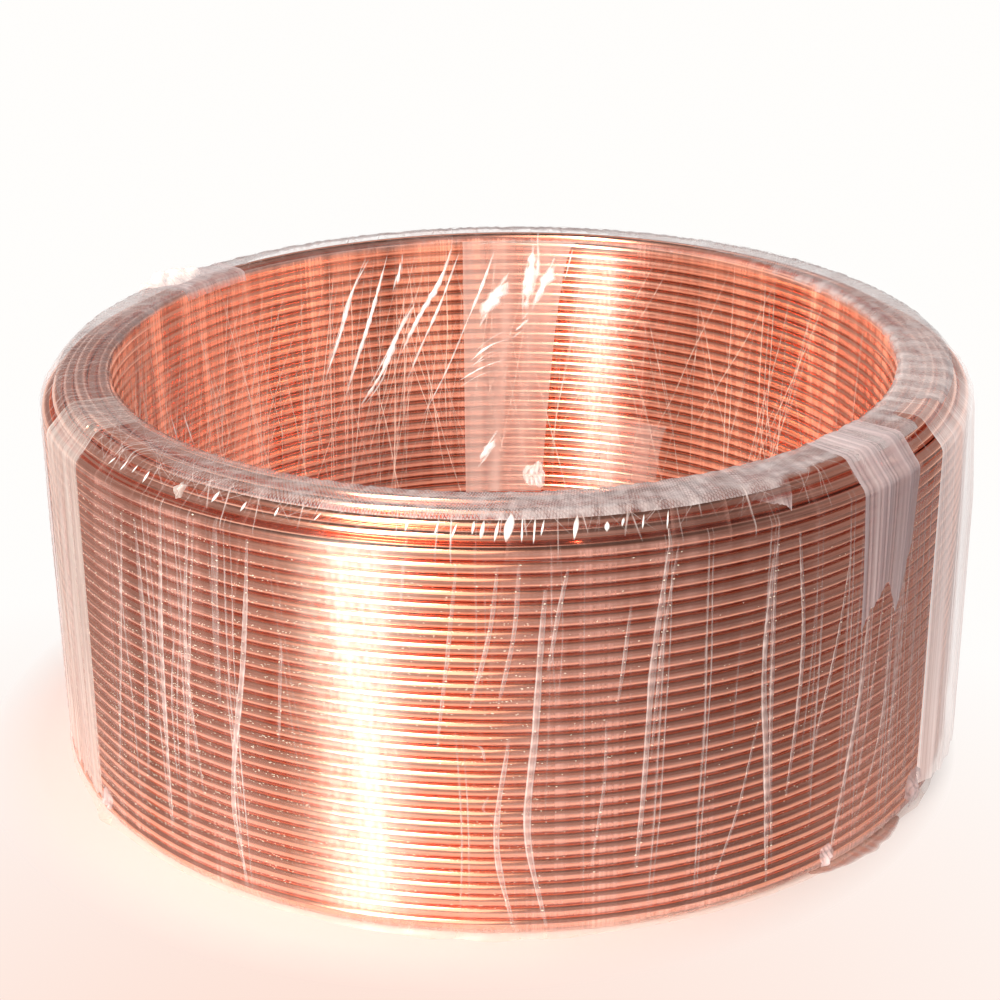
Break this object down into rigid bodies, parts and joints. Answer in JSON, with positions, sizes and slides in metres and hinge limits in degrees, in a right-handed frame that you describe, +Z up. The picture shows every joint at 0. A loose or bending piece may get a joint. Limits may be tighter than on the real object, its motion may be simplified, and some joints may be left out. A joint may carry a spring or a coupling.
{
  "type": "copper tube coil",
  "caption": "Level-wound coil of bright copper tube standing on its end: a ring of nested turns with an open bore, wrapped through the bore and round the outside in clear stretch film.",
  "frame": {"origin": "middle of the bore, on the plane the wrapped coil stands on", "axes": "+Z up along the coil's axis, through the bore; +X and +Y are across the coil and -Y faces the viewer"},
  "size_m": [0.7166, 0.7166, 0.3062],
  "materials": {
    "copper": "bright drawn copper, satin along the turns",
    "film": "clear polyethylene stretch film, wrinkled and overlapping"
  },
  "bodies": {
    "root": {"copper_coil": "copper", "stretch_film": "film"}
  },
  "joints": []
}
